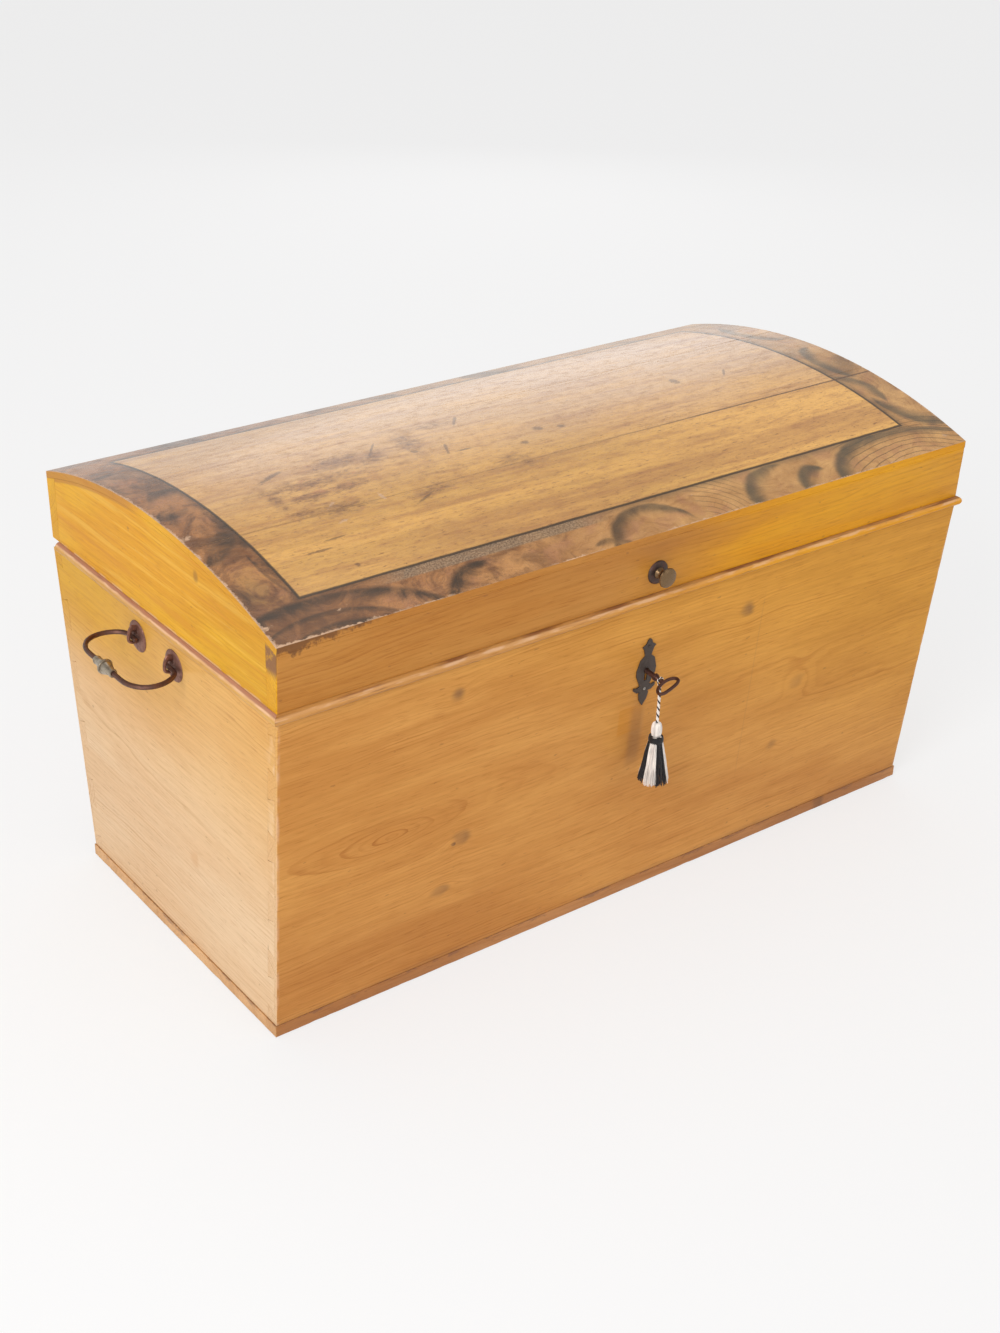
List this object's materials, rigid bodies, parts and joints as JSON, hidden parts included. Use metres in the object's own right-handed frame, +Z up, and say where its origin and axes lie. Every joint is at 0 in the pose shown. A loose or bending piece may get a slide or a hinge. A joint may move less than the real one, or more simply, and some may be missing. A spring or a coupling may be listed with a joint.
{
  "type": "dome top trunk",
  "caption": "Pine dome top trunk with tapered dovetailed sides, a hinged curved lid, a keyed chest lock with a tassel, a lid knob and swinging end handles.",
  "frame": {"origin": "centre of the carcass on the floor, at the bottom boards' underside", "axes": "+X along the trunk to the right, +Y to the hinged back, +Z up; the lock faces -Y"},
  "size_m": [1.255, 0.6072, 0.6081],
  "materials": {
    "front_pine": "worn amber wax",
    "end_pine": "worn honey wax",
    "lid_pine": "worn amber wax",
    "dome_pine": "worn painted graining under varnish",
    "lip_pine": "rubbed bare on the nose",
    "dark_iron": "old brown patina",
    "lock_iron": "dull sheet iron",
    "key_iron": "rust brown",
    "steel": "dull steel",
    "old_brass": "tarnished",
    "pewter_brass": "grey tarnish",
    "white_silk": "twisted silk",
    "black_silk": "loose silk threads"
  },
  "bodies": {
    "base": {"front_board": "front_pine", "back_board": "front_pine", "left_end_board": "end_pine", "right_end_board": "end_pine", "bottom_board_front": "front_pine", "bottom_board_back": "front_pine", "front_lip": "lip_pine", "left_lip": "lip_pine", "right_lip": "lip_pine", "left_hinge_base_leaf": "steel", "left_hinge_pin": "steel", "left_hinge_base_screw_1": "steel", "left_hinge_base_screw_2": "steel", "right_hinge_base_leaf": "steel", "right_hinge_pin": "steel", "right_hinge_base_screw_1": "steel", "right_hinge_base_screw_2": "steel", "lock_plate": "lock_iron", "lock_cover": "lock_iron", "lock_screw_1": "steel", "lock_screw_2": "steel", "escutcheon": "dark_iron", "escutcheon_top_nail": "steel", "escutcheon_bottom_nail": "steel", "left_front_rosette": "dark_iron", "left_back_rosette": "dark_iron", "left_front_eye_staple": "dark_iron", "left_back_eye_staple": "dark_iron", "right_front_rosette": "dark_iron", "right_back_rosette": "dark_iron", "right_front_eye_staple": "dark_iron", "right_back_eye_staple": "dark_iron"},
    "lid": {"lid_front_rail": "lid_pine", "lid_back_rail": "lid_pine", "lid_left_end": "lid_pine", "lid_right_end": "lid_pine", "dome_plank_front": "dome_pine", "dome_plank_middle": "dome_pine", "dome_plank_back": "dome_pine", "left_hinge_lid_leaf": "steel", "left_hinge_lid_screw_1": "steel", "left_hinge_lid_screw_2": "steel", "right_hinge_lid_leaf": "steel", "right_hinge_lid_screw_1": "steel", "right_hinge_lid_screw_2": "steel", "lid_staple": "lock_iron", "staple_screw_1": "steel", "staple_screw_2": "steel", "knob_backplate": "dark_iron", "knob": "old_brass"},
    "key": {"key": "key_iron"},
    "bolt": {"lock_bolt": "steel"},
    "tassel": {"tassel_loop": "white_silk", "tassel_cord": "white_silk", "tassel_head": "white_silk", "tassel_skirt": "black_silk"},
    "left_handle": {"left_bail": "dark_iron", "left_collar": "pewter_brass"},
    "right_handle": {"right_bail": "dark_iron", "right_collar": "pewter_brass"}
  },
  "joints": [
    {"name": "lid_hinge", "type": "hinge", "parent": "base", "child": "lid", "pos_m": [0, 0.274, 0.467], "axis": [-1, 0, 0], "range_deg": [0, 95]},
    {"name": "key_turn", "type": "hinge", "parent": "base", "child": "key", "pos_m": [-0.004, -0.27182, 0.361], "axis": [0, 0.9966, 0.0823], "range_deg": [-68, 294]},
    {"name": "bolt_slide", "type": "slide", "parent": "base", "child": "bolt", "axis": [1, 0, 0], "range_m": [-0.00223, 0.00977]},
    {"name": "tassel_swing", "type": "hinge", "parent": "base", "child": "tassel", "pos_m": [-0.004, -0.30072, 0.35861], "axis": [0, 0.9966, 0.0823], "range_deg": [-60, 60]},
    {"name": "left_handle_swing", "type": "hinge", "parent": "base", "child": "left_handle", "pos_m": [-0.55651, 0.005, 0.42789], "axis": [0, 1, 0], "range_deg": [-85, 75]},
    {"name": "right_handle_swing", "type": "hinge", "parent": "base", "child": "right_handle", "pos_m": [0.55651, 0.005, 0.42789], "axis": [0, -1, 0], "range_deg": [-85, 75]}
  ],
  "couplings": [
    {"joint": "key_turn", "follows": "bolt_slide", "rad_per_m": 523.6}
  ]
}
